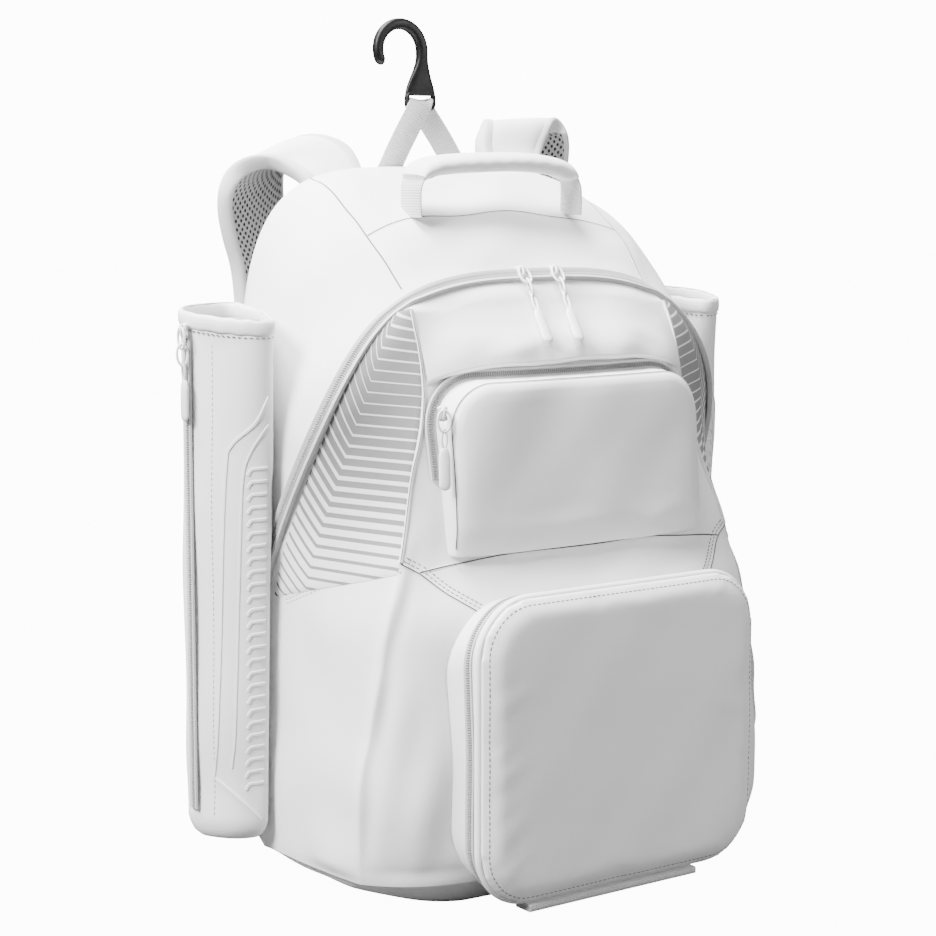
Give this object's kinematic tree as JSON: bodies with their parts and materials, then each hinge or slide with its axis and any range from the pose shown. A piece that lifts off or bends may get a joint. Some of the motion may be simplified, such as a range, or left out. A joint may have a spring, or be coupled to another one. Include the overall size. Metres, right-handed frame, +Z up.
{
  "type": "baseball bat backpack",
  "caption": "Upright white sports backpack with arched main zip, domed front, padded lower flap, side bat sleeves, haul handle and hanging hook.",
  "frame": {"origin": "on the ground, under the middle of the pack's flat foot", "axes": "+Z up, -Y out of the front with the padded flap, +X to the right of someone who looks at the front"},
  "size_m": [0.4886, 0.3016, 0.6184],
  "materials": {
    "shell_cloth": "smooth matt coated woven cloth, white",
    "zip_tape": "white coil zip on woven tape",
    "chevron_print": "grey cloth with a white chevron stripe pattern",
    "webbing": "pale woven webbing",
    "air_mesh": "padded air mesh with a bound edge",
    "stretch_mesh": "white stretch mesh",
    "pull_plastic": "white moulded plastic, satin",
    "hook_plastic": "black moulded plastic, slightly glossy"
  },
  "bodies": {
    "root": {"body_shell": "shell_cloth", "front_panel": "shell_cloth", "main_zip": "zip_tape", "chevron_panel_left": "chevron_print", "chevron_panel_right": "chevron_print", "upper_pocket": "shell_cloth", "pocket_zip": "zip_tape", "pocket_hood": "shell_cloth", "compartment_gusset": "shell_cloth", "front_flap": "shell_cloth", "bottom_tab": "webbing", "bat_sleeve_left": "shell_cloth", "bat_sleeve_right": "shell_cloth", "sleeve_hem_left": "webbing", "sleeve_hem_right": "webbing", "sleeve_zip_left": "zip_tape", "sleeve_zip_right": "zip_tape", "sleeve_pull_left": "pull_plastic", "sleeve_pull_right": "pull_plastic", "main_pull_left": "pull_plastic", "main_pull_right": "pull_plastic", "pocket_pull": "pull_plastic", "mesh_pocket": "stretch_mesh", "back_pad": "air_mesh", "shoulder_strap_left": "air_mesh", "shoulder_strap_right": "air_mesh", "buckle_left": "pull_plastic", "buckle_right": "pull_plastic", "strap_webbing_left": "webbing", "strap_webbing_right": "webbing", "haul_handle": "webbing", "hanging_loop": "webbing", "hook": "hook_plastic"}
  },
  "joints": []
}
